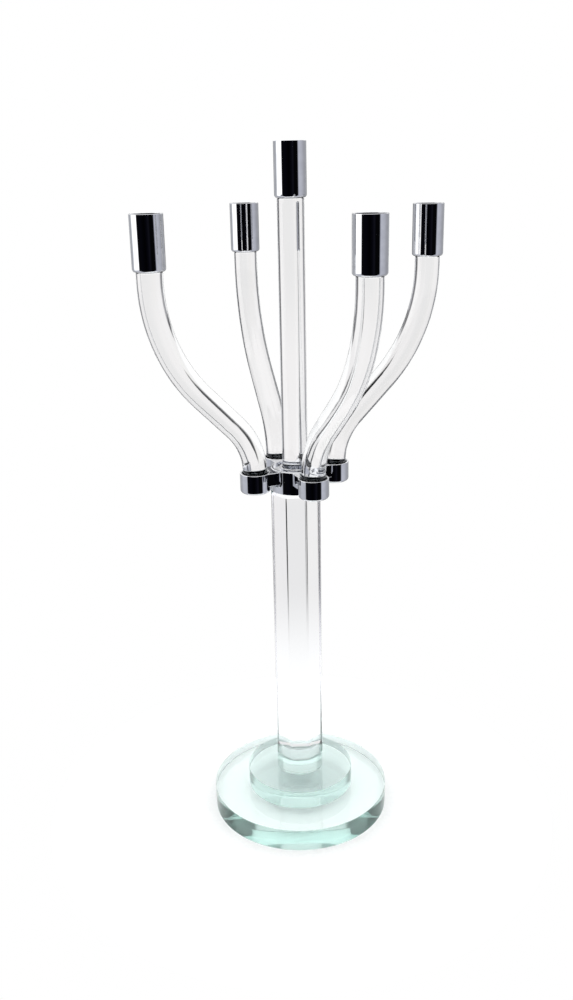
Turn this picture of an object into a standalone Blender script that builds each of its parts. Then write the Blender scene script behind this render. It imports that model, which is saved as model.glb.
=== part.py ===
"""A five-light candelabrum: glass discs, a glass column, bent glass arms and chromed candle cups.

Everything is in metres, +Z up. The origin is the centre of the base's underside. A chromed hub
on top of an eight-sided glass column holds one straight stem and four S-bent arms. Each arm
stands loose in a socket of the hub, inside a clear sleeve, so it turns and lifts out.
"""

import math

import bmesh
import bpy
from mathutils import Matrix, Vector

# --- driving sizes, in metres and degrees ---------------------------------------------------

BASE_RADIUS = 0.0690
BASE_THICKNESS = 0.0175
RISER_RADIUS = 0.0415
RISER_THICKNESS = 0.0142
FOOT_THICKNESS = 0.0127
DISC_ARRIS = 0.0006

COLUMN_ACROSS_FLATS = 0.0360
COLUMN_LENGTH = 0.2214
COLUMN_CHAMFER = 0.0020

BOSS_HEIGHT = 0.0170
BOSS_EDGE = 0.0008
STEM_SEAT_DEPTH = 0.0080

STEM_RADIUS = 0.00925
STEM_RISE = 0.1880  # from the top of the boss to the underside of the middle cup
ROD_ARRIS = 0.0004

ARM_RADIUS = 0.00875
ARM_REACH = 0.0701  # from the socket's axis out to the cup's axis
ARM_RISE = 0.1460  # from the socket's rim up to the cup's underside
ARM_LEAN = 44.0  # slant of the run between the two bends, measured from upright
LOWER_BEND_RADIUS = 0.0500
UPPER_STRAIGHT = 0.0060

SLEEVE_WALL = 0.00055
SLEEVE_SETBACK = 0.0020  # how far the sleeve stops below the rim
SOCKET_WALL = 0.0012
SOCKET_FLOOR = 0.0015
SOCKET_HEIGHT = 0.0145
SOCKET_SPACE = 0.0025  # between the boss and the socket
SOCKET_CORNER = 0.0020
RIM_DROP = 0.0005  # how far the socket's rim lies below the top of the boss

WEB_WIDTH = 0.0180
WEB_HEIGHT = 0.0095

CANDLE_RADIUS = 0.0100
CUP_WALL = 0.0010
CUP_FLOOR = 0.0020
CUP_HEIGHT = 0.0360
CUP_CORNER = 0.0020
RIM_ARRIS = 0.00025

# How far each arm is set off its own radial direction, in degrees, seen from above.
ARM_SETTINGS = (-10.0, -5.0, 2.0, 5.0)

# --- clearances -----------------------------------------------------------------------------

BOND_GAP = 0.0003  # the film of adhesive, and the play between pieces that rest on each other
RUNNING_GAP = 0.00025  # round a rod in its sleeve, and round a sleeve in its socket
STEM_GAP = 0.0003  # round the stem in its seat

# --- roundness ------------------------------------------------------------------------------

DISC_SIDES = 64
TUBE_SIDES = 36
ROD_SIDES = 24
CORNER_STEPS = 3
LOWER_BEND_STEPS = 8
UPPER_BEND_STEPS = 10
COLUMN_SIDES = 8

# --- sizes that follow ----------------------------------------------------------------------

FOOT_RADIUS = COLUMN_ACROSS_FLATS / 2
BOSS_RADIUS = COLUMN_ACROSS_FLATS / 2
RISER_BOTTOM = BASE_THICKNESS + BOND_GAP
FOOT_BOTTOM = RISER_BOTTOM + RISER_THICKNESS + BOND_GAP
COLUMN_BOTTOM = FOOT_BOTTOM + FOOT_THICKNESS + BOND_GAP
BOSS_BOTTOM = COLUMN_BOTTOM + COLUMN_LENGTH + BOND_GAP
BOSS_TOP = BOSS_BOTTOM + BOSS_HEIGHT
STEM_BOTTOM = BOSS_TOP - STEM_SEAT_DEPTH + BOND_GAP
STEM_CUP_BOTTOM = BOSS_TOP + STEM_RISE
RIM_HEIGHT = BOSS_TOP - RIM_DROP
SLEEVE_INNER = ARM_RADIUS + RUNNING_GAP
SLEEVE_OUTER = SLEEVE_INNER + SLEEVE_WALL
SOCKET_BORE = SLEEVE_OUTER + RUNNING_GAP
SOCKET_RADIUS = SOCKET_BORE + SOCKET_WALL
SOCKET_CIRCLE = BOSS_RADIUS + SOCKET_SPACE + SOCKET_RADIUS
CUP_RADIUS = CANDLE_RADIUS + CUP_WALL


# --- materials ------------------------------------------------------------------------------


def finish(name, colour, roughness, metallic=0.0, transmission=0.0):
    """A Principled material: colour is linear red, green and blue."""
    material = bpy.data.materials.new(name)
    material.use_nodes = True
    shader = material.node_tree.nodes["Principled BSDF"]
    shader.inputs["Base Color"].default_value = (*colour, 1.0)
    shader.inputs["Roughness"].default_value = roughness
    shader.inputs["Metallic"].default_value = metallic
    shader.inputs["Transmission Weight"].default_value = transmission
    material.diffuse_color = (*colour, 1.0)
    return material


def clear_glass():
    return finish("clear_glass", (0.93, 0.96, 0.95), 0.02, transmission=1.0)


def float_glass():
    return finish("float_glass", (0.72, 0.90, 0.86), 0.02, transmission=1.0)


def chrome():
    return finish("chrome", (0.80, 0.81, 0.83), 0.06, metallic=1.0)


def clear_vinyl():
    return finish("clear_vinyl", (0.85, 0.87, 0.87), 0.25, transmission=0.8)


# --- modelling helpers ----------------------------------------------------------------------


def round_corner(centre, radius, start, stop):
    """Points of an arc in a turned outline, from start to stop degrees."""
    turns = [start + (stop - start) * step / CORNER_STEPS for step in range(CORNER_STEPS + 1)]
    return [
        (
            centre[0] + radius * math.cos(math.radians(turn)),
            centre[1] + radius * math.sin(math.radians(turn)),
        )
        for turn in turns
    ]


def mesh_from(bm, name):
    """A smooth-shaded mesh with its faces pointing out, keeping the hard edges."""
    bmesh.ops.remove_doubles(bm, verts=bm.verts, dist=1e-6)
    bmesh.ops.recalc_face_normals(bm, faces=bm.faces)
    mesh = bpy.data.meshes.new(name)
    bm.to_mesh(mesh)
    bm.free()
    mesh.shade_smooth()
    mesh.set_sharp_from_angle(angle=math.radians(35.0))
    return mesh


def turned_mesh(name, outline, sides):
    """An outline of (radius, height) points, turned all the way round the Z axis."""
    bm = bmesh.new()
    points = [bm.verts.new((radius, 0.0, height)) for radius, height in outline]
    edges = [bm.edges.new(pair) for pair in zip(points, points[1:])]
    bmesh.ops.spin(
        bm,
        geom=points + edges,
        cent=(0.0, 0.0, 0.0),
        axis=(0.0, 0.0, 1.0),
        angle=math.tau,
        steps=sides,
        use_merge=True,
    )
    return mesh_from(bm, name)


def add_object(name, mesh, material, height=0.0, parent=None):
    """An object in the scene, its origin at this height over its parent or over the floor."""
    part = bpy.data.objects.new(name, mesh)
    if not mesh.materials:
        mesh.materials.append(material)
    part.location.z = height
    part.parent = parent
    bpy.context.collection.objects.link(part)
    return part


def add_cutter(name, mesh):
    """A shape that only takes part in Booleans."""
    cutter = bpy.data.objects.new(name, mesh)
    cutter.hide_render = True
    cutter.display_type = "WIRE"
    bpy.context.collection.objects.link(cutter)
    return cutter


def add_boolean(part, operation, other):
    modifier = part.modifiers.new(other.name, "BOOLEAN")
    modifier.operation = operation
    modifier.solver = "EXACT"
    modifier.object = other


def box_mesh(name, size, centre):
    bm = bmesh.new()
    place = Matrix.Translation(centre) @ Matrix.Diagonal((*size, 1.0))
    bmesh.ops.create_cube(bm, size=1.0, matrix=place)
    return mesh_from(bm, name)


# --- the glass stand ------------------------------------------------------------------------


def plate_outline(radius, thickness, arris):
    """Half the section of a flat round plate whose two edges are ground off."""
    return [
        (0.0, 0.0),
        (radius - arris, 0.0),
        (radius, arris),
        (radius, thickness - arris),
        (radius - arris, thickness),
        (0.0, thickness),
    ]


def build_discs(glass):
    """The three stacked discs: the wide base, the riser and the foot under the column."""
    stack = (
        ("base_disc", BASE_RADIUS, BASE_THICKNESS, 0.0),
        ("riser_disc", RISER_RADIUS, RISER_THICKNESS, RISER_BOTTOM),
        ("foot_disc", FOOT_RADIUS, FOOT_THICKNESS, FOOT_BOTTOM),
    )
    for name, radius, thickness, bottom in stack:
        outline = plate_outline(radius, thickness, DISC_ARRIS)
        add_object(name, turned_mesh(name, outline, DISC_SIDES), glass, bottom)


def build_column(glass):
    """The eight-sided column, its end edges chamfered. Its corners face the arms."""
    corner_radius = COLUMN_ACROSS_FLATS / 2 / math.cos(math.pi / COLUMN_SIDES)
    bm = bmesh.new()
    bmesh.ops.create_cone(
        bm,
        cap_ends=True,
        segments=COLUMN_SIDES,
        radius1=corner_radius,
        radius2=corner_radius,
        depth=COLUMN_LENGTH,
        matrix=Matrix.Translation((0.0, 0.0, COLUMN_LENGTH / 2)),
    )
    end_edges = [
        edge for edge in bm.edges if abs(edge.verts[0].co.z - edge.verts[1].co.z) < BOND_GAP
    ]
    bmesh.ops.bevel(
        bm, geom=end_edges, offset=COLUMN_CHAMFER, offset_type="OFFSET", segments=1, affect="EDGES"
    )
    mesh = mesh_from(bm, "column")
    mesh.shade_flat()
    add_object("column", mesh, glass, COLUMN_BOTTOM)


# --- the chromed hub ------------------------------------------------------------------------


def socket_places():
    """Azimuth and centre of each of the four sockets, anticlockwise from +X."""
    for quarter in range(len(ARM_SETTINGS)):
        azimuth = math.tau * quarter / len(ARM_SETTINGS)
        yield azimuth, Vector((math.cos(azimuth), math.sin(azimuth), 0.0)) * SOCKET_CIRCLE


def boss_outline():
    """Half the section of the boss, its upper edge rounded."""
    edge_centre = (BOSS_RADIUS - BOSS_EDGE, BOSS_TOP - BOSS_EDGE)
    return [
        (0.0, BOSS_BOTTOM),
        (BOSS_RADIUS, BOSS_BOTTOM),
        *round_corner(edge_centre, BOSS_EDGE, 0.0, 90.0),
        (0.0, BOSS_TOP),
    ]


def cylinder_mesh(name, radius, bottom, top, sides, centre=(0.0, 0.0)):
    bm = bmesh.new()
    bmesh.ops.create_cone(
        bm,
        cap_ends=True,
        segments=sides,
        radius1=radius,
        radius2=radius,
        depth=top - bottom,
        matrix=Matrix.Translation((*centre, (bottom + top) / 2)),
    )
    return mesh_from(bm, name)


def build_hub(metal):
    """The casting: a round boss, a web to each socket, and the seat of the stem."""
    hub = add_object("hub", turned_mesh("hub", boss_outline(), DISC_SIDES), metal)
    middle = RIM_HEIGHT - WEB_HEIGHT / 2
    long_way = 2 * SOCKET_CIRCLE
    webs = {"web_x": (long_way, WEB_WIDTH, WEB_HEIGHT), "web_y": (WEB_WIDTH, long_way, WEB_HEIGHT)}
    for name, size in webs.items():
        add_boolean(hub, "UNION", add_cutter(name, box_mesh(name, size, (0.0, 0.0, middle))))
    for number, (_, centre) in enumerate(socket_places(), 1):
        name = f"socket_room_{number}"
        room = cylinder_mesh(
            name,
            SOCKET_RADIUS + BOND_GAP,
            BOSS_BOTTOM - BOSS_HEIGHT,
            BOSS_TOP + BOSS_HEIGHT,
            DISC_SIDES,
            centre.xy,
        )
        add_boolean(hub, "DIFFERENCE", add_cutter(name, room))
    seat = cylinder_mesh(
        "stem_seat",
        STEM_RADIUS + STEM_GAP,
        BOSS_TOP - STEM_SEAT_DEPTH,
        BOSS_TOP + BOSS_HEIGHT,
        TUBE_SIDES,
    )
    add_boolean(hub, "DIFFERENCE", add_cutter("stem_seat", seat))


def open_cup_outline(radius, wall, floor, height, corner):
    """Half the section of a round cup with a rounded lower edge and a broken rim."""
    bore = radius - wall
    return [
        (0.0, 0.0),
        *round_corner((radius - corner, corner), corner, -90.0, 0.0),
        (radius, height - RIM_ARRIS),
        (radius - RIM_ARRIS, height),
        (bore + RIM_ARRIS, height),
        (bore, height - RIM_ARRIS),
        (bore, floor),
        (0.0, floor),
    ]


def build_sockets(metal):
    """The four round sockets that the arms stand in."""
    outline = open_cup_outline(
        SOCKET_RADIUS, SOCKET_WALL, SOCKET_FLOOR, SOCKET_HEIGHT, SOCKET_CORNER
    )
    mesh = turned_mesh("socket", outline, TUBE_SIDES)
    for number, (_, centre) in enumerate(socket_places(), 1):
        socket = add_object(f"socket_{number}", mesh, metal, RIM_HEIGHT - SOCKET_HEIGHT)
        socket.location.xy = centre.xy


# --- the stem and the arms ------------------------------------------------------------------


def build_stem(glass, metal):
    """The straight middle rod, with the highest cup on its end."""
    length = STEM_CUP_BOTTOM - BOND_GAP - STEM_BOTTOM
    outline = plate_outline(STEM_RADIUS, length, ROD_ARRIS)
    add_object("stem", turned_mesh("stem", outline, ROD_SIDES), glass, STEM_BOTTOM)
    add_object("cup_middle", cup_mesh("cup_middle"), metal, STEM_CUP_BOTTOM)


def cup_mesh(name):
    outline = open_cup_outline(CUP_RADIUS, CUP_WALL, CUP_FLOOR, CUP_HEIGHT, CUP_CORNER)
    return turned_mesh(name, outline, TUBE_SIDES)


def arm_bends():
    """The upper bend's radius and the slanted run's length that meet the reach and the rise.

    Across: both bends give (lower + upper) * (1 - cos lean), the run gives length * sin lean.
    Up: both bends give (lower + upper) * sin lean, the run gives length * cos lean.
    """
    lean = math.radians(ARM_LEAN)
    sine, cosine = math.sin(lean), math.cos(lean)
    climb = ARM_RISE - UPPER_STRAIGHT - BOND_GAP
    radii = (climb * sine - ARM_REACH * cosine) / (1.0 - cosine)
    run = (ARM_REACH * sine - climb * (1.0 - cosine)) / (1.0 - cosine)
    return radii - LOWER_BEND_RADIUS, run


def push_end(bm, face, step):
    """Extrudes the rod's end face by a straight step and returns the new end face."""
    end = [face, *face.edges, *face.verts]
    pushed = bmesh.ops.extrude_face_region(bm, geom=end)["geom"]
    moved = [item for item in pushed if isinstance(item, bmesh.types.BMVert)]
    bmesh.ops.translate(bm, verts=moved, vec=step)
    return next(item for item in pushed if isinstance(item, bmesh.types.BMFace))


def bend_end(bm, face, centre, turn, steps):
    """Bends the rod's end face round a centre in the XZ plane and returns the new end face."""
    end = [face, *face.edges, *face.verts]
    bent = bmesh.ops.spin(
        bm, geom=end, cent=centre, axis=(0.0, 1.0, 0.0), angle=turn, steps=steps
    )
    return next(item for item in bent["geom_last"] if isinstance(item, bmesh.types.BMFace))


def arm_mesh():
    """An S-bent rod in the XZ plane. Its origin is on the socket's axis at the rim."""
    foot = SOCKET_FLOOR + BOND_GAP - SOCKET_HEIGHT
    lean = math.radians(ARM_LEAN)
    upper_radius, run = arm_bends()
    bm = bmesh.new()
    start = bmesh.ops.create_circle(
        bm,
        cap_ends=True,
        segments=ROD_SIDES,
        radius=ARM_RADIUS,
        matrix=Matrix.Translation((0.0, 0.0, foot)),
    )
    face = start["verts"][0].link_faces[0]
    face = push_end(bm, face, (0.0, 0.0, -foot))
    face = bend_end(bm, face, (LOWER_BEND_RADIUS, 0.0, 0.0), lean, LOWER_BEND_STEPS)
    slant = Vector((math.sin(lean), 0.0, math.cos(lean)))
    face = push_end(bm, face, slant * run)
    outward = Vector((math.cos(lean), 0.0, -math.sin(lean)))
    centre = face.calc_center_median() - outward * upper_radius
    face = bend_end(bm, face, centre, -lean, UPPER_BEND_STEPS)
    push_end(bm, face, (0.0, 0.0, UPPER_STRAIGHT))
    return mesh_from(bm, "arm")


def sleeve_mesh():
    """A thin clear tube, its origin on the socket's axis at the rim."""
    bottom = SOCKET_FLOOR + BOND_GAP - SOCKET_HEIGHT
    outline = [
        (SLEEVE_INNER, bottom),
        (SLEEVE_OUTER, bottom),
        (SLEEVE_OUTER, -SLEEVE_SETBACK),
        (SLEEVE_INNER, -SLEEVE_SETBACK),
        (SLEEVE_INNER, bottom),
    ]
    return turned_mesh("sleeve", outline, ROD_SIDES)


def build_arms(glass, metal, vinyl):
    """The four arms, each with its sleeve and its cup under an empty on the swivel's axis."""
    arm, sleeve, cup = arm_mesh(), sleeve_mesh(), cup_mesh("cup_arm")
    for number, (azimuth, centre) in enumerate(socket_places(), 1):
        swivel = bpy.data.objects.new(f"swivel_{number}", None)
        swivel.location = (*centre.xy, RIM_HEIGHT)
        swivel.rotation_euler.z = azimuth + math.radians(ARM_SETTINGS[number - 1])
        bpy.context.collection.objects.link(swivel)
        add_object(f"sleeve_{number}", sleeve, vinyl, parent=swivel)
        add_object(f"arm_{number}", arm, glass, parent=swivel)
        holder = add_object(f"cup_{number}", cup, metal, ARM_RISE, parent=swivel)
        holder.location.x = ARM_REACH


# --- the whole object -----------------------------------------------------------------------


def clear_scene():
    for old in list(bpy.data.objects):
        bpy.data.objects.remove(old)


def main():
    clear_scene()
    crystal, plate, metal, vinyl = clear_glass(), float_glass(), chrome(), clear_vinyl()
    build_discs(plate)
    build_column(crystal)
    build_hub(metal)
    build_sockets(metal)
    build_stem(crystal, metal)
    build_arms(crystal, metal, vinyl)


main()
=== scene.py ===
"""The looks of a five-light glass candelabrum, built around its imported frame.

Everything is in metres, +Z up, in the frame's own coordinates, but the grain of the finishes is
given in millimetres. Three bonded discs of float glass carry an eight-sided glass column, whose
chromed hub holds a straight stem and four S-bent arms.
"""

import logging
import math
from collections.abc import Callable, Iterable
from dataclasses import dataclass
from enum import Enum

import bmesh
import bpy
from mathutils import Matrix, Vector


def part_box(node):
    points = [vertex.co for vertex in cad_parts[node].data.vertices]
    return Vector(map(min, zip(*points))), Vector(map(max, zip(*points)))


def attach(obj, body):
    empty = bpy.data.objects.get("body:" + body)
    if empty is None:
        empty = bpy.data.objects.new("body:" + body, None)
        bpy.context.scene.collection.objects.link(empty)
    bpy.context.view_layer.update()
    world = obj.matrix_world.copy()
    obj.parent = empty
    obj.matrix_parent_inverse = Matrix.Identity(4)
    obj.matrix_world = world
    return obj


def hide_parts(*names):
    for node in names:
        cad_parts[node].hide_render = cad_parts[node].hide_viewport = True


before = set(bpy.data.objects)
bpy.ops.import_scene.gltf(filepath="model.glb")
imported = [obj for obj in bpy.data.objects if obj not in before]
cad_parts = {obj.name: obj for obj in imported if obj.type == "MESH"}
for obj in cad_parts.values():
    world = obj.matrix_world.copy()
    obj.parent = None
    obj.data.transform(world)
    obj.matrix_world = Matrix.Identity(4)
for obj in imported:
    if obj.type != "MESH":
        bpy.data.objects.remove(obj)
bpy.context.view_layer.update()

MM = 0.001
UP = Vector((0.0, 0.0, 1.0))
COLUMN_SIDES = 8
EASED = 2  # segments across an edge that is only taken off
ROUNDED = 3  # segments across a small round
WELL_ROUNDED = 4  # segments across a round that catches the light
ARM_NUMBERS = range(1, 5)
LOG = logging.getLogger("candelabrum")


class Slot(str, Enum):
    """The record's material slots."""

    FLOAT_GLASS = "float_glass"
    CLEAR_GLASS = "clear_glass"
    CHROME = "chrome"
    CLEAR_VINYL = "clear_vinyl"


class Body(str, Enum):
    """The stand's body, and the first part of the names of the bodies that each arm has."""

    STAND = "stand"
    SWIVEL = "swivel"
    ARM = "arm"

    def of(self, number: int) -> str:
        """The name of this kind of body at one of the four arms."""
        return f"{self.value}_{number}"


# --- colours and nodes ----------------------------------------------------------------------


def linear(code: str, strength: float = 1.0) -> tuple[float, float, float, float]:
    """Turns an sRGB hex colour to linear light.

    Args:
        code: The colour as "#RRGGBB".
        strength: What the three channels are multiplied by, for light.

    Returns:
        Linear red, green and blue, and an alpha of one.
    """
    channels = [int(code[place : place + 2], 16) / 255 for place in (1, 3, 5)]
    levels = [c / 12.92 if c <= 0.04045 else ((c + 0.055) / 1.055) ** 2.4 for c in channels]
    return (*(level * strength for level in levels), 1.0)


def plug(tree: bpy.types.NodeTree, node: bpy.types.Node, inputs: dict) -> None:
    """Fills a node's inputs.

    Args:
        tree: The material's or the world's node tree.
        node: The node.
        inputs: A constant or another node's output for each named or numbered input.
    """
    for key, value in inputs.items():
        if isinstance(value, bpy.types.NodeSocket):
            tree.links.new(value, node.inputs[key])
        else:
            node.inputs[key].default_value = value


def add_node(
    tree: bpy.types.NodeTree, kind: str, inputs: dict | None = None, **settings: object
) -> bpy.types.Node:
    """Adds one node with its settings, its sockets' values and its links.

    Args:
        tree: The material's or the world's node tree.
        kind: The node's type, such as "ShaderNodeTexNoise".
        inputs: What plug fills its inputs with.
        settings: The node's own properties.

    Returns:
        The new node.
    """
    node = tree.nodes.new(kind)
    for name, value in settings.items():
        setattr(node, name, value)
    plug(tree, node, inputs or {})
    return node


def fill_ramp(node: bpy.types.Node, stops: Iterable[tuple[float, tuple]]) -> bpy.types.Node:
    """Gives a colour ramp these stops.

    Args:
        node: A Color Ramp node.
        stops: Place from 0 to 1 and linear colour of each stop, in rising order.

    Returns:
        The same node.
    """
    elements = node.color_ramp.elements
    while len(elements) > 1:
        elements.remove(elements[-1])
    for index, (place, colour) in enumerate(stops):
        element = elements[0] if index == 0 else elements.new(place)
        element.position = place
        element.color = colour
    return node


def new_material(name: str) -> tuple[bpy.types.Material, bpy.types.Node, bpy.types.Node]:
    """Makes an empty node material.

    Args:
        name: The material's name.

    Returns:
        The material, its Principled shader and its output node.
    """
    material = bpy.data.materials.new(name)
    material.use_nodes = True
    material.node_tree.nodes.clear()
    output = add_node(material.node_tree, "ShaderNodeOutputMaterial")
    shader = add_node(material.node_tree, "ShaderNodeBsdfPrincipled")
    material.node_tree.links.new(shader.outputs["BSDF"], output.inputs["Surface"])
    return material, shader, output


# --- finishes -------------------------------------------------------------------------------


@dataclass(frozen=True)
class PolishedGlass:
    """Clear glass with bright faces: float, optical, drawn or flame-bent.

    It refracts sharply, with faint flow lines where it was drawn or floated, and its tint
    deepens with the length of glass that is looked through.
    """

    name: str
    tint: str  # what stays of white light after clear_path of glass
    clear_path: float  # metres
    flow_spacing: tuple[float, float, float]  # mm between flow lines along X, Y and Z
    flow_depth: float  # mm
    flow_detail: float = 2.0  # octaves of finer lines among them
    surface: str = "#FDFEFE"
    refraction: float = 1.52
    smudge: float = 0.012  # roughness where fingers have touched it
    smudge_size: float = 26.0  # mm
    smudge_edges: tuple[float, float] = (0.52, 0.80)  # noise where a smudge starts and is full

    def build(self) -> bpy.types.Material:
        """Makes the material.

        Returns:
            The finished glass.
        """
        material, shader, output = new_material(self.name)
        tree = material.node_tree
        place = add_node(tree, "ShaderNodeTexCoord").outputs["Object"]
        scale = tuple(1.0 / (spacing * MM) for spacing in self.flow_spacing)
        stretched = add_node(tree, "ShaderNodeMapping", {"Vector": place, "Scale": scale})
        flow = add_node(
            tree, "ShaderNodeTexNoise",
            {"Vector": stretched.outputs["Vector"], "Scale": 1.0, "Detail": self.flow_detail,
             "Roughness": 0.4},
        )
        bump = add_node(
            tree, "ShaderNodeBump",
            {"Height": flow.outputs["Fac"], "Distance": self.flow_depth * MM},
        )
        touch = add_node(
            tree, "ShaderNodeTexNoise",
            {"Vector": place, "Scale": 1.0 / (self.smudge_size * MM), "Detail": 4.0},
        )
        rough = add_node(
            tree, "ShaderNodeMapRange",
            {"Value": touch.outputs["Fac"], "From Min": self.smudge_edges[0],
             "From Max": self.smudge_edges[1], "To Min": 0.0, "To Max": self.smudge},
        )
        plug(tree, shader, {
            "Base Color": linear(self.surface), "IOR": self.refraction, "Transmission Weight": 1.0,
            "Roughness": rough.outputs["Result"], "Normal": bump.outputs["Normal"],
        })
        kept = linear(self.tint)[:3]
        losses = [-math.log(level) / self.clear_path for level in kept]
        density = max(losses)
        colour = (*(1.0 - loss / density for loss in losses), 1.0)
        body = add_node(tree, "ShaderNodeVolumeAbsorption", {"Color": colour, "Density": density})
        tree.links.new(body.outputs["Volume"], output.inputs["Volume"])
        return material


@dataclass(frozen=True)
class ChromePlate:
    """Bright chromium over nickel on turned brass.

    A mirror with a cold cast. The polish leaves a faint haze in patches and an almost flat
    swell under the plating, which makes the edges of reflections run a little unevenly.
    """

    name: str = "bright_chrome_plate"
    bright: str = "#E6E7EA"
    hazy: str = "#D6D7DB"
    polish: tuple[float, float] = (0.018, 0.055)  # roughness, clean and hazy
    haze_size: float = 6.0  # mm
    haze_tones: tuple[float, float] = (0.35, 0.75)  # noise where the tone turns hazy
    haze_edges: tuple[float, float] = (0.40, 0.75)  # noise where the polish turns hazy
    swell_size: float = 5.0  # mm
    swell_depth: float = 0.0016  # mm

    def build(self) -> bpy.types.Material:
        """Makes the material.

        Returns:
            The finished plating.
        """
        material, shader, _ = new_material(self.name)
        tree = material.node_tree
        place = add_node(tree, "ShaderNodeTexCoord").outputs["Object"]
        haze = add_node(
            tree, "ShaderNodeTexNoise",
            {"Vector": place, "Scale": 1.0 / (self.haze_size * MM), "Detail": 5.0, "Roughness": 0.6},
        )
        swell = add_node(
            tree, "ShaderNodeTexNoise",
            {"Vector": place, "Scale": 1.0 / (self.swell_size * MM), "Detail": 1.0},
        )
        colour = fill_ramp(
            add_node(tree, "ShaderNodeValToRGB", {"Fac": haze.outputs["Fac"]}),
            zip(self.haze_tones, (linear(self.bright), linear(self.hazy))),
        )
        rough = add_node(
            tree, "ShaderNodeMapRange",
            {"Value": haze.outputs["Fac"], "From Min": self.haze_edges[0],
             "From Max": self.haze_edges[1], "To Min": self.polish[0], "To Max": self.polish[1]},
        )
        bump = add_node(
            tree, "ShaderNodeBump",
            {"Height": swell.outputs["Fac"], "Distance": self.swell_depth * MM},
        )
        plug(tree, shader, {
            "Base Color": colour.outputs["Color"], "Metallic": 1.0,
            "Roughness": rough.outputs["Result"], "Normal": bump.outputs["Normal"],
        })
        return material


@dataclass(frozen=True)
class ExtrudedVinyl:
    """Clear soft vinyl tube, extruded: slightly cloudy, with fine lines along its length."""

    name: str = "extruded_clear_vinyl"
    clear: str = "#F4F6F6"
    cloudy: str = "#E6EAEA"
    refraction: float = 1.53
    polish: tuple[float, float] = (0.06, 0.16)  # roughness, clear and cloudy
    cloud_tones: tuple[float, float] = (0.3, 0.8)  # noise where the tone turns cloudy
    line_spacing: float = 0.4  # mm, coarser than real die lines so that they show
    line_length: float = 50.0  # mm
    line_depth: float = 0.004  # mm

    def build(self) -> bpy.types.Material:
        """Makes the material.

        Returns:
            The finished vinyl.
        """
        material, shader, _ = new_material(self.name)
        tree = material.node_tree
        place = add_node(tree, "ShaderNodeTexCoord").outputs["Object"]
        fine, coarse = 1.0 / (self.line_spacing * MM), 1.0 / (self.line_length * MM)
        along = add_node(
            tree, "ShaderNodeMapping", {"Vector": place, "Scale": (fine, fine, coarse)}
        )
        lines = add_node(
            tree, "ShaderNodeTexNoise",
            {"Vector": along.outputs["Vector"], "Scale": 1.0, "Detail": 2.0},
        )
        colour = fill_ramp(
            add_node(tree, "ShaderNodeValToRGB", {"Fac": lines.outputs["Fac"]}),
            zip(self.cloud_tones, (linear(self.clear), linear(self.cloudy))),
        )
        rough = add_node(
            tree, "ShaderNodeMapRange",
            {"Value": lines.outputs["Fac"], "To Min": self.polish[0], "To Max": self.polish[1]},
        )
        bump = add_node(
            tree, "ShaderNodeBump",
            {"Height": lines.outputs["Fac"], "Distance": self.line_depth * MM},
        )
        plug(tree, shader, {
            "Base Color": colour.outputs["Color"], "IOR": self.refraction,
            "Transmission Weight": 1.0, "Roughness": rough.outputs["Result"],
            "Normal": bump.outputs["Normal"],
        })
        return material


@dataclass(frozen=True)
class PaintedSweep:
    """Matt white floor paint, rolled on the studio's table, with a trace of roller texture."""

    name: str = "matt_white_floor_paint"
    light: str = "#FBFBFB"
    dark: str = "#F6F6F7"
    nap: float = 3.0  # mm
    nap_tones: tuple[float, float] = (0.3, 0.7)  # noise where the tone is dark and is light
    roughness: float = 0.9

    def build(self) -> bpy.types.Material:
        """Makes the material.

        Returns:
            The finished paint.
        """
        material, shader, _ = new_material(self.name)
        tree = material.node_tree
        place = add_node(tree, "ShaderNodeTexCoord").outputs["Object"]
        nap = add_node(
            tree, "ShaderNodeTexNoise",
            {"Vector": place, "Scale": 1.0 / (self.nap * MM), "Detail": 3.0},
        )
        colour = fill_ramp(
            add_node(tree, "ShaderNodeValToRGB", {"Fac": nap.outputs["Fac"]}),
            zip(self.nap_tones, (linear(self.dark), linear(self.light))),
        )
        plug(tree, shader, {
            "Base Color": colour.outputs["Color"], "Roughness": self.roughness,
            "Specular IOR Level": 0.0,
        })
        return material


# --- the bench: shaping by hand -------------------------------------------------------------


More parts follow.
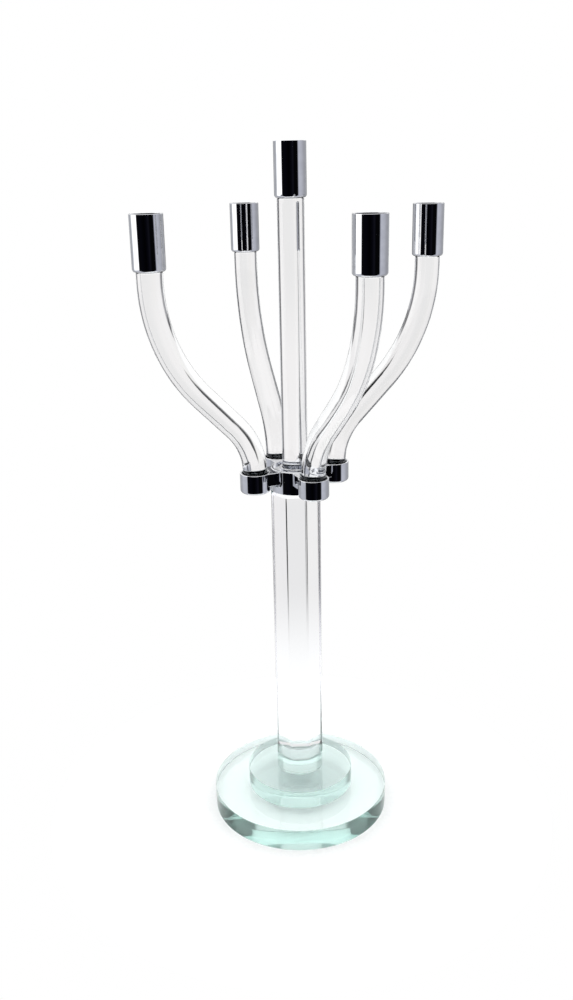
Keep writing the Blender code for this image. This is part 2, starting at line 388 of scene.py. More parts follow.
class Workpiece:
    """One object under work. It starts as a primitive and is shaped in edit mode."""

    def __init__(self, name: str) -> None:
        """Takes over the primitive that was just added.

        Args:
            name: The piece's name.
        """
        self.shape = bpy.context.object
        self.shape.name = name
        self.shape.data.name = name
        bpy.ops.object.transform_apply(location=True, rotation=True, scale=True)
        bpy.ops.object.mode_set(mode="EDIT")

    @classmethod
    def cylinder(
        cls, name: str, radius: float, bottom: float, top: float, sides: int,
        centre: tuple[float, float] = (0.0, 0.0),
    ) -> "Workpiece":
        """Starts from a closed cylinder.

        Args:
            name: The piece's name.
            radius: Radius of its corners.
            bottom: Height of its underside.
            top: Height of its upper face.
            sides: How many sides it has.
            centre: X and Y of its axis.

        Returns:
            The workpiece, in edit mode.
        """
        bpy.ops.object.select_all(action="DESELECT")
        bpy.ops.mesh.primitive_cylinder_add(
            vertices=sides, radius=radius, depth=top - bottom,
            location=(*centre, (top + bottom) / 2),
        )
        return cls(name)

    @classmethod
    def block(cls, name: str, size: Vector, centre: Vector) -> "Workpiece":
        """Starts from a box.

        Args:
            name: The piece's name.
            size: Its length along X, Y and Z.
            centre: Its middle.

        Returns:
            The workpiece, in edit mode.
        """
        bpy.ops.object.select_all(action="DESELECT")
        bpy.ops.mesh.primitive_cube_add(size=1.0, location=centre, scale=size)
        return cls(name)

    def pick_faces(self, wanted: Callable[[bmesh.types.BMFace], bool]) -> "Workpiece":
        """Selects only the faces that pass the test.

        Args:
            wanted: The test.

        Returns:
            The same workpiece.
        """
        bpy.ops.mesh.select_mode(type="FACE")
        bpy.ops.mesh.select_all(action="DESELECT")
        for face in bmesh.from_edit_mesh(self.shape.data).faces:
            if wanted(face):
                face.select_set(True)
        bmesh.update_edit_mesh(self.shape.data)
        return self

    def pick_edges(self, wanted: Callable[[bmesh.types.BMEdge], bool]) -> "Workpiece":
        """Selects only the edges that pass the test.

        Args:
            wanted: The test.

        Returns:
            The same workpiece.
        """
        bpy.ops.mesh.select_mode(type="EDGE")
        bpy.ops.mesh.select_all(action="DESELECT")
        for edge in bmesh.from_edit_mesh(self.shape.data).edges:
            if wanted(edge):
                edge.select_set(True)
        bmesh.update_edit_mesh(self.shape.data)
        return self

    def inset(self, thickness: float) -> "Workpiece":
        """Insets the selected faces."""
        bpy.ops.mesh.inset(thickness=thickness, use_even_offset=True)
        return self

    def extrude(self, along: Vector) -> "Workpiece":
        """Extrudes the selected faces by a straight step."""
        bpy.ops.mesh.extrude_region_move(TRANSFORM_OT_translate={"value": along})
        return self

    def bevel(self, width: float, segments: int = 1) -> "Workpiece":
        """Bevels the selected edges."""
        bpy.ops.mesh.bevel(offset=width, segments=segments, profile=0.5, affect="EDGES")
        return self

    def bend(self, centre: Vector, axis: Vector, turn: float, steps: int) -> "Workpiece":
        """Carries the selected face round an axis, drawing the rod after it."""
        bpy.ops.mesh.spin(steps=steps, angle=-turn, center=centre, axis=axis)
        return self

    def bridge(self) -> "Workpiece":
        """Joins two selected faces with a hole's wall."""
        bpy.ops.mesh.bridge_edge_loops()
        return self

    def leave(self) -> bpy.types.Object:
        """Goes back to object mode, with the faces pointing outwards.

        Returns:
            The object.
        """
        bpy.ops.mesh.select_mode(type="VERT")
        bpy.ops.mesh.select_all(action="SELECT")
        bpy.ops.mesh.remove_doubles(threshold=1e-6)
        bpy.ops.mesh.normals_make_consistent(inside=False)
        bpy.ops.mesh.select_all(action="DESELECT")
        bpy.ops.object.mode_set(mode="OBJECT")
        return self.shape


class Cut(str, Enum):
    """What a Boolean does with its other shape."""

    JOIN = "UNION"
    TAKE_AWAY = "DIFFERENCE"


def activate(shape: bpy.types.Object) -> None:
    """Makes one object the only selected one and the active one.

    Args:
        shape: The object.
    """
    bpy.ops.object.select_all(action="DESELECT")
    shape.select_set(True)
    bpy.context.view_layer.objects.active = shape


def apply_boolean(shape: bpy.types.Object, cut: Cut, tool: bpy.types.Object) -> None:
    """Joins a shape with another or cuts it, and throws the other away.

    Args:
        shape: The piece that is worked on.
        cut: Whether the tool's volume is added or taken away.
        tool: The other shape. It is gone afterwards.
    """
    activate(shape)
    modifier = shape.modifiers.new("cut", "BOOLEAN")
    modifier.operation = cut.value
    modifier.solver = "EXACT"
    modifier.object = tool
    bpy.ops.object.modifier_apply(modifier=modifier.name)
    bpy.data.objects.remove(tool)


def smooth(shape: bpy.types.Object, crease: float = 32.0) -> bpy.types.Object:
    """Shades a piece smooth between its creases, its large faces keeping their own normals.

    Args:
        shape: The piece.
        crease: Edges that turn by more than this, in degrees, stay hard.

    Returns:
        The same piece.
    """
    activate(shape)
    bpy.ops.object.shade_smooth_by_angle(angle=math.radians(crease))
    modifier = shape.modifiers.new("weighted", "WEIGHTED_NORMAL")
    modifier.mode = "FACE_AREA"
    modifier.weight = 100
    modifier.keep_sharp = True
    bpy.ops.object.modifier_apply(modifier=modifier.name)
    return shape


def placed_copy(shape: bpy.types.Object, name: str, place: Matrix) -> bpy.types.Object:
    """Copies a piece, mesh and all, with its place in its mesh.

    Args:
        shape: The model of the piece.
        name: The copy's name.
        place: Where the copy goes.

    Returns:
        The copy, its object at the origin.
    """
    copy = shape.copy()
    copy.data = shape.data.copy()
    copy.name = name
    copy.data.name = name
    copy.data.transform(place)
    bpy.context.collection.objects.link(copy)
    return copy


def hand_over(
    piece: bpy.types.Object, material: bpy.types.Material, body: str, node: str
) -> None:
    """Dresses a finished piece and puts it in the frame.

    Args:
        piece: The piece, in place.
        material: Its finish.
        body: The body that it moves with.
        node: The node that it stands for.
    """
    piece.data.materials.clear()
    piece.data.materials.append(material)
    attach(piece, body)
    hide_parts(node)
    LOG.info("%s: %d faces, on %s", piece.name, len(piece.data.polygons), body)


def lies_at(edge: bmesh.types.BMEdge, height: float, radius: float | None = None) -> bool:
    """Whether an edge lies level at a height and, if asked, at a radius from Z.

    Args:
        edge: The edge.
        height: The height.
        radius: The distance from the Z axis, or None where it doesn't matter.

    Returns:
        True where it does.
    """
    near = 0.02 * MM
    level = all(abs(corner.co.z - height) < near for corner in edge.verts)
    if radius is None or not level:
        return level
    return all(abs(corner.co.xy.length - radius) < near for corner in edge.verts)


def middle_of(node: str) -> Vector:
    """The middle of a node's box."""
    low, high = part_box(node)
    return (low + high) / 2


# --- the glass stand ------------------------------------------------------------------------


@dataclass
class GlassDiscs:
    """Three ground discs of float glass, bonded in a stack: base, riser and foot."""

    glass: bpy.types.Material
    arris: float = 0.35 * MM  # ground off each edge
    bond: float = 0.36 * MM  # how far the upper discs reach down through the adhesive film
    sides: int = 192

    def build(self) -> None:
        """Builds the stack from the bottom up."""
        for level, node in enumerate(("base_disc", "riser_disc", "foot_disc")):
            low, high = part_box(node)
            bottom = low.z - (self.bond if level else 0.0)
            radius = (high.x - low.x) / 2
            work = Workpiece.cylinder(f"{node}_glass", radius, bottom, high.z, self.sides)
            work.pick_edges(lambda edge: lies_at(edge, bottom) or lies_at(edge, high.z))
            piece = smooth(work.bevel(self.arris, EASED).leave())
            hand_over(piece, self.glass, Body.STAND.value, node)


@dataclass
class Column:
    """The eight-sided column of optical glass, its ends chamfered."""

    glass: bpy.types.Material
    chamfer: float = 2.0 * MM
    edge: float = 0.9 * MM  # rounded off the eight long edges
    bond: float = 0.36 * MM  # how far it reaches down through the adhesive film
    crease: float = 18.0  # degrees, so that the faces stay flat beside their rounded edges

    def build(self) -> None:
        """Builds the column between the foot disc and the hub."""
        low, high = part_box("column")
        bottom = low.z - self.bond
        radius = (high.x - low.x) / 2
        work = Workpiece.cylinder("column_prism", radius, bottom, high.z, COLUMN_SIDES)
        work.pick_edges(lambda edge: abs((edge.verts[0].co - edge.verts[1].co).z) > radius)
        work.bevel(self.edge, WELL_ROUNDED)
        work.pick_edges(lambda edge: lies_at(edge, bottom) or lies_at(edge, high.z))
        work.bevel(self.chamfer)
        piece = smooth(work.leave(), self.crease)
        hand_over(piece, self.glass, Body.STAND.value, "column")


# --- the chromed hub ------------------------------------------------------------------------


@dataclass
class Hub:
    """The plated casting on the column: a round boss, four webs and the stem's seat."""

    chrome: bpy.types.Material
    boss_edge: float = 0.8 * MM
    web_width: float = 18.0 * MM
    web_height: float = 9.5 * MM
    web_edge: float = 0.5 * MM
    web_bite: float = 0.3 * MM  # how far a web reaches into the socket's wall
    seat_radius: float = 9.55 * MM
    seat_depth: float = 8.0 * MM
    collar: float = 11.3 * MM  # radius of the collar that the seat is bored in
    groove: float = 16.0 * MM  # outer radius of the turned groove round the collar
    groove_depth: float = 1.8 * MM
    round_over: float = 0.35 * MM  # of the collar's and the groove's edges
    rim_drop: float = 0.5 * MM  # from the boss's top down to the webs
    sides: int = 128
    room_sides: int = 96

    def build(self) -> None:
        """Builds the casting round its axis."""
        low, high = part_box("hub")
        hub = self.boss(low.z, high.z)
        self.join_webs(hub, high.z - self.rim_drop - self.web_height / 2)
        self.clear_sockets(hub, low.z - high.z, 2 * high.z)
        seat = Workpiece.cylinder(
            "seat", self.seat_radius, high.z - self.seat_depth, 2 * high.z, self.sides
        )
        apply_boolean(hub, Cut.TAKE_AWAY, seat.leave())
        apply_boolean(hub, Cut.TAKE_AWAY, self.groove_cutter(high.z))
        activate(hub)
        work = Workpiece("hub_casting")
        work.pick_edges(
            lambda edge: lies_at(edge, high.z, self.seat_radius)
            or lies_at(edge, high.z, self.collar) or lies_at(edge, high.z, self.groove)
        )
        hub = work.bevel(self.round_over, ROUNDED).leave()
        hand_over(smooth(hub), self.chrome, Body.STAND.value, "hub")

    def boss(self, bottom: float, top: float) -> bpy.types.Object:
        """Makes the round boss, as wide as the column is across its flats.

        Args:
            bottom: Height of its underside.
            top: Height of its upper face.

        Returns:
            The boss.
        """
        low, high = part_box("column")
        radius = (high.x - low.x) / 2 * math.cos(math.pi / COLUMN_SIDES)
        work = Workpiece.cylinder("hub_casting", radius, bottom, top, self.sides)
        work.pick_edges(lambda edge: lies_at(edge, top)).bevel(self.boss_edge, WELL_ROUNDED)
        return work.leave()

    def join_webs(self, hub: bpy.types.Object, middle: float) -> None:
        """Joins two bars to the boss, crossed: the four webs that reach out to the sockets.

        Args:
            hub: The casting.
            middle: Height of the bars' middle.
        """
        reach = middle_of("socket_1").x
        for axis in (0, 1):
            size = Vector((self.web_width, self.web_width, self.web_height))
            size[axis] = 2 * reach
            web = Workpiece.block(f"web_{axis}", size, UP * middle)
            web.pick_edges(
                lambda edge, axis=axis: abs((edge.verts[0].co - edge.verts[1].co)[axis]) > reach
            )
            apply_boolean(hub, Cut.JOIN, web.bevel(self.web_edge, ROUNDED).leave())

    def clear_sockets(self, hub: bpy.types.Object, bottom: float, top: float) -> None:
        """Cuts the webs off inside the sockets' walls.

        Args:
            hub: The casting.
            bottom: Where the cuts start, well below the casting.
            top: Where they end, well above it.
        """
        low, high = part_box("socket_1")
        radius = (high.x - low.x) / 2 - self.web_bite
        for number in ARM_NUMBERS:
            centre = middle_of(f"socket_{number}").xy
            room = Workpiece.cylinder("room", radius, bottom, top, self.room_sides, centre)
            apply_boolean(hub, Cut.TAKE_AWAY, room.leave())

    def groove_cutter(self, top: float) -> bpy.types.Object:
        """Makes the ring that cuts the groove between the collar and the boss's rim.

        Args:
            top: Height of the boss's upper face.

        Returns:
            The ring.
        """
        work = Workpiece.cylinder(
            "groove", self.groove, top - self.groove_depth, 2 * top, self.sides
        )
        work.pick_faces(lambda face: abs(face.normal.z) > 0.9)
        work.inset(self.groove - self.collar)
        return work.bridge().leave()


@dataclass
class TurnedCup:
    """An open cup, turned from solid bar: the sockets of the arms and the candle cups."""

    wall: float
    floor: float
    corner: float = 2.0 * MM
    corner_steps: int = 8
    rim: float = 0.3 * MM
    root: float = 0.6 * MM  # the fillet at the bottom of the bore
    sides: int = 128

    def model(self, name: str, radius: float, height: float) -> bpy.types.Object:
        """Models the cup upright on the origin.

        Args:
            name: The piece's name.
            radius: Its outer radius.
            height: Its height.

        Returns:
            The smooth-shaded cup.
        """
        work = Workpiece.cylinder(name, radius, 0.0, height, self.sides)
        work.pick_faces(lambda face: face.normal.z > 0.9).inset(self.wall)
        work.extrude(-UP * (height - self.floor))
        work.pick_edges(lambda edge: lies_at(edge, 0.0)).bevel(self.corner, self.corner_steps)
        work.pick_edges(lambda edge: lies_at(edge, height)).bevel(self.rim, ROUNDED)
        work.pick_edges(lambda edge: lies_at(edge, self.floor)).bevel(self.root, ROUNDED)
        return smooth(work.leave())

    def place_all(self, chrome: bpy.types.Material, nodes: dict[str, str], prefix: str) -> None:
        """Models one cup and sets a copy of it at each node.

        Args:
            chrome: The plating.
            nodes: The body of each node.
            prefix: What the pieces' names start with.
        """
        boxes = [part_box(node) for node in nodes]
        # a faceted cup turned with its arm has a slightly narrower box: the narrowest fits all
        radius = min(min((high - low).xy) for low, high in boxes) / 2
        model = self.model(prefix, radius, boxes[0][1].z - boxes[0][0].z)
        for node, body in nodes.items():
            centre = middle_of(node)
            foot = Vector((*centre.xy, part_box(node)[0].z))
            label = node.rpartition("_")[2]
            piece = placed_copy(model, f"{prefix}_{label}", Matrix.Translation(foot))
            hand_over(piece, chrome, body, node)
        bpy.data.objects.remove(model)


# --- the stem and the arms ------------------------------------------------------------------


@dataclass
class Stem:
    """The straight middle rod, standing in the hub."""

    glass: bpy.types.Material
    arris: float = 0.4 * MM
    sides: int = 96

    def build(self) -> None:
        """Builds the rod from its seat up to the middle cup."""
        low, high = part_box("stem")
        radius = (high.x - low.x) / 2
        work = Workpiece.cylinder("stem_rod", radius, low.z, high.z, self.sides)
        work.pick_edges(lambda edge: lies_at(edge, low.z) or lies_at(edge, high.z))
        piece = smooth(work.bevel(self.arris).leave())
        hand_over(piece, self.glass, Body.STAND.value, "stem")


@dataclass
class Arms:
    """Four S-bent glass rods, each standing loose in a clear sleeve in its socket."""

    glass: bpy.types.Material
    vinyl: bpy.types.Material
    radius: float = 8.75 * MM
    lean: float = math.radians(44.0)  # slant of the run between the bends, from upright
    lower_bend: float = 50.0 * MM
    upper_straight: float = 6.0 * MM
    arris: float = 0.4 * MM
    sides: int = 72
    lower_steps: int = 22
    upper_steps: int = 30
    sharp: float = 1.0  # radians: only the edges of the rod's two ends turn by more
    sleeve_wall: float = 0.55 * MM
    sleeve_edge: float = 0.12 * MM
    sleeve_sides: int = 96

    def bends(self, reach: float, rise: float) -> tuple[float, float]:
        """Works out what the reach and the rise leave for the upper bend and the slanted run.

        Args:
            reach: From the socket's axis out to the cup's axis.
            rise: From the socket's rim up to the rod's end.

        Returns:
            The upper bend's radius and the run's length.
        """
        sine, cosine = math.sin(self.lean), math.cos(self.lean)
        climb = rise - self.upper_straight
        radii = (climb * sine - reach * cosine) / (1.0 - cosine)
        run = (reach * sine - climb * (1.0 - cosine)) / (1.0 - cosine)
        return radii - self.lower_bend, run

    def model_rod(self, foot: float, reach: float, rise: float) -> bpy.types.Object:
        """Models an arm in the XZ plane, its socket's rim at the origin.

        Args:
            foot: Height of the rod's lower end, below the rim.
            reach: From the socket's axis out to the cup's axis.
            rise: From the rim up to the rod's upper end.

        Returns:
            The smooth-shaded rod.
        """
        upper_bend, run = self.bends(reach, rise)
        slant = Vector((math.sin(self.lean), 0.0, math.cos(self.lean)))
        outward = Vector((math.cos(self.lean), 0.0, -math.sin(self.lean)))
        across = Vector((0.0, 1.0, 0.0))
        lower_centre = Vector((self.lower_bend, 0.0, 0.0))
        knee = lower_centre - outward * self.lower_bend + slant * run
        work = Workpiece.cylinder("arm_model", self.radius, foot, 0.0, self.sides)
        work.pick_faces(lambda face: face.normal.z > 0.9)
        work.bend(lower_centre, across, self.lean, self.lower_steps)
        work.extrude(slant * run)
        work.bend(knee - outward * upper_bend, across, -self.lean, self.upper_steps)
        work.extrude(UP * self.upper_straight)
        work.pick_edges(
            lambda edge: len(edge.link_faces) == 2 and edge.calc_face_angle() > self.sharp
        )
        return smooth(work.bevel(self.arris).leave())

    def model_sleeve(self, bottom: float, top: float, radius: float) -> bpy.types.Object:
        """Models a sleeve round the Z axis, its socket's rim at the origin.

        Args:
            bottom: Height of its lower end, below the rim.
            top: Height of its upper end, below the rim.
            radius: Its outer radius.

        Returns:
            The smooth-shaded tube.
        """
        work = Workpiece.cylinder("sleeve_model", radius, bottom, top, self.sleeve_sides)
        work.pick_faces(lambda face: abs(face.normal.z) > 0.9).inset(self.sleeve_wall)
        work.bridge()
        work.pick_edges(lambda edge: lies_at(edge, bottom) or lies_at(edge, top))
        return smooth(work.bevel(self.sleeve_edge, EASED).leave())

    def build(self) -> None:
        """Models one arm and one sleeve, and sets a copy of each in every socket."""
        socket, cup = middle_of("socket_1"), middle_of("cup_1")
        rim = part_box("socket_1")[1].z
        arm_low, arm_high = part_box("arm_1")
        rod = self.model_rod(arm_low.z - rim, (cup - socket).xy.length, arm_high.z - rim)
        low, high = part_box("sleeve_1")
        sleeve = self.model_sleeve(low.z - rim, high.z - rim, (high.x - low.x) / 2)
        for number in ARM_NUMBERS:
            socket, cup = middle_of(f"socket_{number}"), middle_of(f"cup_{number}")
            out = cup - socket
            turn = Matrix.Rotation(math.atan2(out.y, out.x), 4, "Z")
            place = Matrix.Translation((*socket.xy, rim)) @ turn
            arm = placed_copy(rod, f"arm_rod_{number}", place)
            hand_over(arm, self.glass, Body.ARM.of(number), f"arm_{number}")
            tube = placed_copy(sleeve, f"sleeve_tube_{number}", place)
            hand_over(
                tube, self.vinyl, Body.SWIVEL.of(number), f"sleeve_{number}"
            )
        for model in (rod, sleeve):
            bpy.data.objects.remove(model)


# --- the studio -----------------------------------------------------------------------------


@dataclass(frozen=True)
class Viewpoint:
    """The camera: where it stands and how it is turned."""

    place: tuple[float, float, float] = (-0.2834, -0.6354, 0.4958)
    turn: float = math.radians(23.48)  # clockwise from +Y, seen from above
    dip: float = math.radians(18.90)  # below the horizon
    roll: float = math.radians(-1.16)
    lens: float = 35.74  # mm
    sensor: float = 36.0  # mm, along its long side
    nearest: float = 10.0 * MM  # what is nearer isn't drawn

    def build(self) -> None:
        """Makes the camera and looks through it."""
        data = bpy.data.cameras.new("camera")
        data.lens = self.lens
        data.sensor_width = self.sensor
        data.clip_start = self.nearest
        camera = bpy.data.objects.new("camera", data)
        heading = Matrix.Rotation(-self.turn, 4, "Z")
        tilt = Matrix.Rotation(math.pi / 2 - self.dip, 4, "X")
        roll = Matrix.Rotation(self.roll, 4, "Z")
        camera.matrix_world = Matrix.Translation(self.place) @ heading @ tilt @ roll
        bpy.context.scene.collection.objects.link(camera)
        bpy.context.scene.camera = camera


@dataclass
class Sweep:
    """The round white table that the object stands on."""

    paint: bpy.types.Material
    radius: float = 0.20
    thickness: float = 4.0 * MM
    edge: float = 1.0 * MM
    air: float = 0.2 * MM  # between the paint and the polished underside of the base
    sides: int = 128

    def build(self) -> None:
        """Builds the table with its top just under the base."""
        top = -self.air
        bottom = top - self.thickness
        work = Workpiece.cylinder("studio_table", self.radius, bottom, top, self.sides)
        work.pick_edges(lambda edge: lies_at(edge, top)).bevel(self.edge, EASED)
        table = smooth(work.leave())
        table.data.materials.append(self.paint)


@dataclass(frozen=True)
class SoftBoxes:
    """The light: a white box to the left, a paler one to the right, and a dark room in front.

    Bearings are in degrees, anticlockwise from the side that the object faces, seen from above,
    so the room's dark middle is at 0 and the white paper behind the object at 180. A height is
    the Z of a direction, from -1 straight down to 1 straight up, and a pair of heights is where a
    part of the room starts to show and where it has taken over.
    """

    front: float = -114.0  # the world's bearing of the side that the object faces
    plating: float = 0.74  # what chrome keeps of a light that it mirrors
    sky: float = 1.26  # the light on matt paint, from all sides
    under_glass: float = 2.65  # the light that crosses the base to the table
    under_stack: float = 3.4  # the same where it crosses the riser too, whose bond costs more
    stack_depth: float = 8.0  # how many faces of glass that light has passed on its way
    sill: tuple[float, float] = (-0.12, -0.24)
    backdrop: tuple[float, float] = (0.06, 0.14)
    ceiling: tuple[float, float] = (0.60, 0.82)

    def build(self) -> None:
        """Makes the world and its light."""
        world = bpy.data.worlds.new("studio_light")
        world.use_nodes = True
        world.cycles.sampling_method = "NONE"
        bpy.context.scene.world = world
        tree = world.node_tree
        tree.nodes.clear()
        way = add_node(tree, "ShaderNodeTexCoord").outputs["Generated"]
        faced = add_node(
            tree, "ShaderNodeMapping",
            {"Vector": way, "Rotation": (0.0, 0.0, -math.radians(self.front))},
        )
        around = add_node(
            tree, "ShaderNodeTexGradient",
            {"Vector": faced.outputs["Vector"]}, gradient_type="RADIAL",
        )
        height = add_node(tree, "ShaderNodeSeparateXYZ", {"Vector": way}).outputs["Z"]
        mirrored = self.mirrored_room(tree, around.outputs["Fac"], height)
        through = self.room_through_glass(tree, around.outputs["Fac"], height)
        path = add_node(tree, "ShaderNodeLightPath")
        open_sky = linear("#FFFFFF", self.sky)
        seen = self.mix(tree, path.outputs["Is Glossy Ray"], open_sky, mirrored)
        seen = self.mix(tree, path.outputs["Is Transmission Ray"], seen, through)
        below = add_node(
            tree, "ShaderNodeMath",
            {0: path.outputs["Diffuse Depth"], 1: path.outputs["Is Transmission Ray"]},
            operation="MULTIPLY", use_clamp=True,
        )
        crossed = add_node(  # one where the depth is the stack's, within a half
            tree, "ShaderNodeMath",
            {0: path.outputs["Transmission Depth"], 1: self.stack_depth, 2: 0.5},
            operation="COMPARE",
        )
        found = self.mix(
            tree, crossed.outputs["Value"],
            linear("#FFFFFF", self.under_glass), linear("#FFFFFF", self.under_stack),
        )
        seen = self.mix(tree, below.outputs["Value"], seen, found)
        seen = self.mix(tree, path.outputs["Is Camera Ray"], seen, linear("#FFFFFF"))
        light = add_node(tree, "ShaderNodeBackground", {"Color": seen, "Strength": 1.0})
        add_node(tree, "ShaderNodeOutputWorld", {"Surface": light.outputs["Background"]})

    def mix(
        self, tree: bpy.types.NodeTree, share: object, first: object, second: object
    ) -> bpy.types.NodeSocket:
        """Mixes two colours without a limit on their brightness.

        Args:
            tree: The world's nodes.
            share: How much of the second colour there is.
            first: A colour or an output.
            second: A colour or an output.

        Returns:
            The mixed colour's output.
        """
        inputs = {0: share, 6: first, 7: second}
        node = add_node(tree, "ShaderNodeMix", inputs, data_type="RGBA", clamp_factor=True)
        return node.outputs[2]

    def share_of_height(
        self, tree: bpy.types.NodeTree, height: bpy.types.NodeSocket, start: float, end: float
    ) -> bpy.types.NodeSocket:
        """How far a direction has risen, or sunk, from one height to another.

        Args:
            tree: The world's nodes.
            height: The Z of the direction.
            start: The Z at which the share is none.
            end: The Z at which it is all.

        Returns:
            The share's output.
        """
        share = add_node(
            tree, "ShaderNodeMapRange",
            {"Value": height, "From Min": start, "From Max": end}, interpolation_type="SMOOTHSTEP",
        )
        return share.outputs["Result"]

    def walls(
        self, tree: bpy.types.NodeTree, around: bpy.types.NodeSocket,
        stops: Iterable[tuple],
    ) -> bpy.types.NodeSocket:
        """The walls of the room, by bearing.

        Args:
            tree: The world's nodes.
            around: The bearing as a share of a turn.
            stops: Bearing and sRGB colour of each stop, and its strength where that isn't one.

        Returns:
            The colour's output.
        """
        ramp = add_node(tree, "ShaderNodeValToRGB", {"Fac": around})
        places = [(0.5 + bearing / 360.0, linear(*look)) for bearing, *look in stops]
        return fill_ramp(ramp, places).outputs["Color"]

    def mirrored_room(
        self, tree: bpy.types.NodeTree, around: bpy.types.NodeSocket, height: bpy.types.NodeSocket
    ) -> bpy.types.NodeSocket:
        """The room as plating and polished glass mirror it, dark towards the front.

        Straight behind, a dark doorway shows below the edge of the paper. Under the sill the left
        box ends, and over all of it lies the white ceiling.

        Args:
            tree: The world's nodes.
            around: The bearing as a share of a turn.
            height: The Z of the direction.

        Returns:
            The colour's output.
        """
        gain = 1.0 / self.plating
        dark = ((-60, "#0A0A0C"), (-34, "#07070E"), (-8, "#020204"), (8, "#08080F"),
                (20, "#14141C"), (30, "#060608"), (55, "#08080A"))
        right = ((60, "#9C9EA8", gain), (66, "#B2B4BD", gain), (90, "#AAACB4", gain),
                 (112, "#98999F", gain), (135, "#919296", gain), (154, "#AEB0B3", gain))
        left = ((-154, "#B4B6BA", gain), (-130, "#98999D", gain), (-116, "#A6A8AB", gain),
                (-106, "#F4F5F7", gain), (-100, "#FFFFFF", 1.7), (-64, "#FFFFFF", 1.7))
        low_left = ((-154, "#B9BBBE", gain), (-130, "#98999D", gain), (-100, "#B4B6BD", gain),
                    (-64, "#ADAFB6", gain))
        doorway = ((160, "#0C0C10"), (180, "#0A0A0C"))
        before = ((-180, "#0A0A0C"), (-160, "#0C0C10"))
        paper = ((-180, "#FFFFFF", 1.25), (-130, "#FFFFFF", 1.2), (-116, "#A6A8AB", gain),
                 *left[-3:], *dark, *right[:4], (130, "#FFFFFF", 1.2), (180, "#FFFFFF", 1.25))
        middle = self.walls(tree, around, before + left + dark + right + doorway)
        low = self.walls(tree, around, before + low_left + dark + right + doorway)
        sides = self.mix(tree, self.share_of_height(tree, height, *self.sill), middle, low)
        backdrop = self.share_of_height(tree, height, *self.backdrop)
        sides = self.mix(tree, backdrop, sides, self.walls(tree, around, paper))
        ceiling = self.share_of_height(tree, height, *self.ceiling)
        return self.mix(tree, ceiling, sides, linear("#FFFFFF", 1.5))

    def room_through_glass(
        self, tree: bpy.types.NodeTree, around: bpy.types.NodeSocket, height: bpy.types.NodeSocket
    ) -> bpy.types.NodeSocket:
        """The room as light that has come through glass finds it.

        White paper stands behind and lies in front, with gaps at its edges that draw the dark
        lines along the rods. The room in front is dim only above the horizon. The joint is the
        strip where the standing and the lying paper meet, which draws the column's edges, and the
        lamps are what the rims of the discs catch from above.

        Args:
            tree: The world's nodes.
            around: The bearing as a share of a turn.
            height: The Z of the direction.

        Returns:
            The colour's output.
        """
        left = ((-136, "#F4F2F2"), (-130, "#78787C"), (-116, "#6A6A6E"), (-110, "#FFFFFF", 1.15),
                (-64, "#FFFFFF", 1.15))
        right = ((64, "#D2D3DC"), (108, "#D8D9E0"), (114, "#2A2A2E"), (129, "#38383C"),
                 (135, "#F2F0F0"))
        room = ((-54, "#74787C"), (0, "#5E6264"), (54, "#74787C"))
        paper = ((-58, "#6A6A6C"), (-50, "#6A6A6C"), (-44, "#F1F0F0"), (44, "#F1F0F0"),
                 (50, "#6A6A6C"), (58, "#6A6A6C"))
        behind = ((-180, "#F1F0F0"), (-160, "#F6F4F3"))
        behind_right = ((180, "#F1F0F0"),)
        joint = ((-180, "#F1F0F0"), (-173, "#F1F0F0"), (-170, "#303234"), (-164, "#303234"),
                 (-160, "#F8F7F5"), (-134, "#F4F2F2"), (-130, "#303034"), (-112, "#303034"),
                 (-104, "#F1F0F0"), (60, "#F1F0F0"), (70, "#303034"), (130, "#303034"),
                 (134, "#F2F0F0"), (158, "#F2F0F0"), (162, "#141618"), (172, "#141618"),
                 (175, "#F1F0F0"), (180, "#F1F0F0"))
        pale = ((-180, "#FAF8F8"), (-136, "#F8F6F6"), (-130, "#9E9EA2"), (-116, "#8E8E92"),
                *left[-2:], *paper, *right[:2], (114, "#505054"), (129, "#66666A"),
                (135, "#F8F6F6"), (180, "#FAF8F8"))
        plain = ((-180, "#F1F0F0"), (-134, "#F4F2F2"), (-110, "#FFFFFF", 1.15),
                 (-64, "#FFFFFF", 1.15), (-44, "#F1F0F0"), (44, "#F1F0F0"), (64, "#D2D3DC"),
                 (108, "#D8D9E0"), (134, "#F2F0F0"), (180, "#F1F0F0"))
        lamps = ((-180, "#FFFFFF"), (-138, "#FFFFFF"), (-130, "#12302C"), (130, "#12302C"),
                 (138, "#FFFFFF"), (180, "#FFFFFF"))
        gap = linear("#5A5A5E")
        layers = (  # the two heights and the look of each
            (0.05, 0.02, behind + left + paper + right + behind_right),
            (-0.09, -0.20, pale),
            (-0.31, -0.33, joint),
            (-0.37, -0.48, plain),
            (-0.40, -0.49, linear("#FFFFFF", 1.10)),
            (0.34, 0.40, gap),
            (0.46, 0.57, lamps),
            (0.95, 0.99, linear("#FFFFFF")),
        )
        seen = self.walls(tree, around, behind + left + room + right + behind_right)
        for start, end, layer in layers:
            share = self.share_of_height(tree, height, start, end)
            if not isinstance(layer[0], float):
                layer = self.walls(tree, around, layer)
            seen = self.mix(tree, share, seen, layer)
        return seen


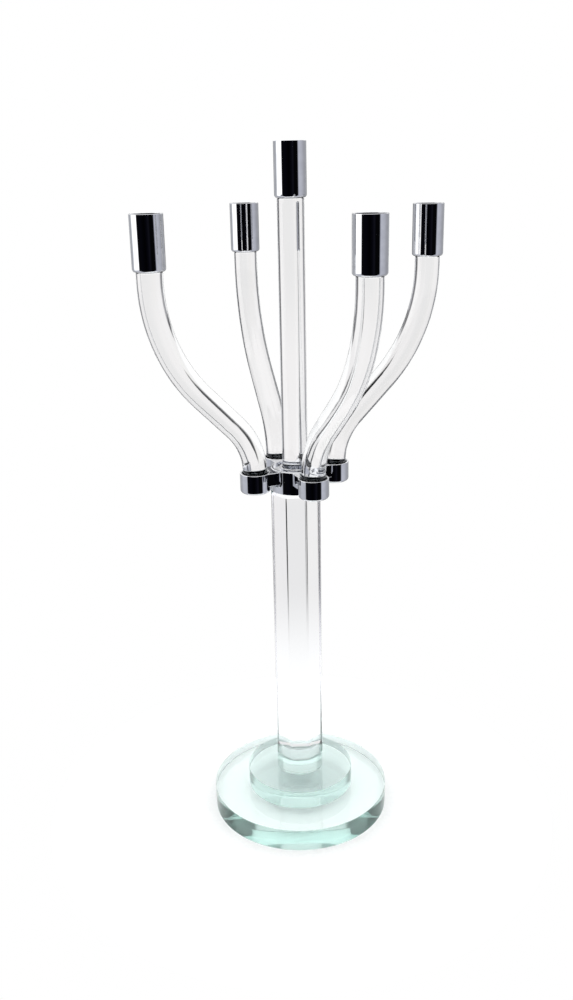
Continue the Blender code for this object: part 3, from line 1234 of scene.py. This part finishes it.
def set_light_paths() -> None:
    """Lets light cross all the glass of the object, and shows white as white."""
    scene = bpy.context.scene
    scene.cycles.max_bounces = 32
    scene.cycles.transmission_bounces = 32
    scene.cycles.glossy_bounces = 12
    scene.cycles.transparent_max_bounces = 16
    scene.view_settings.view_transform = "Standard"


# --- the whole object -----------------------------------------------------------------------


def main() -> None:
    """Builds the studio and the object."""
    logging.basicConfig(level=logging.INFO, format="%(name)s: %(message)s")
    Viewpoint().build()
    set_light_paths()
    SoftBoxes().build()
    Sweep(PaintedSweep().build()).build()

    # sea-green where it is looked through at length, and water-clear across its thickness
    float_glass = PolishedGlass(
        name="ground_float_glass", tint="#D6EDE8", clear_path=0.10,
        flow_spacing=(40.0, 9.0, 40.0), flow_depth=0.004,
    ).build()
    # cut, ground and polished: no colour, flat faces
    optical_glass = PolishedGlass(
        name="polished_optical_glass", tint="#F8F8FB", clear_path=0.10,
        flow_spacing=(14.0, 14.0, 90.0), flow_depth=0.004,
    ).build()
    # drawn straight: faint lines along its length
    drawn_glass = PolishedGlass(
        name="drawn_glass_rod", tint="#F6F5F7", clear_path=0.10,
        flow_spacing=(9.0, 9.0, 60.0), flow_depth=0.02,
    ).build()
    # softened in a flame and bent: the lines are deeper and closer, so its outlines waver
    bent_glass = PolishedGlass(
        name="flame_bent_glass_rod", tint="#F6F5F7", clear_path=0.10,
        flow_spacing=(8.0, 8.0, 32.0), flow_depth=0.15, flow_detail=3.0,
    ).build()
    chrome = ChromePlate().build()
    vinyl = ExtrudedVinyl().build()

    GlassDiscs(float_glass).build()
    Column(optical_glass).build()
    Hub(chrome).build()
    sockets = {f"socket_{number}": Body.STAND.value for number in ARM_NUMBERS}
    TurnedCup(wall=1.2 * MM, floor=1.5 * MM).place_all(chrome, sockets, "socket_ring")
    Stem(drawn_glass).build()
    Arms(bent_glass, vinyl).build()
    cups = {f"cup_{number}": Body.ARM.of(number) for number in ARM_NUMBERS}
    cups["cup_middle"] = Body.STAND.value
    TurnedCup(wall=1.0 * MM, floor=2.0 * MM).place_all(chrome, cups, "candle_cup")


if __name__ == "__main__":
    main()
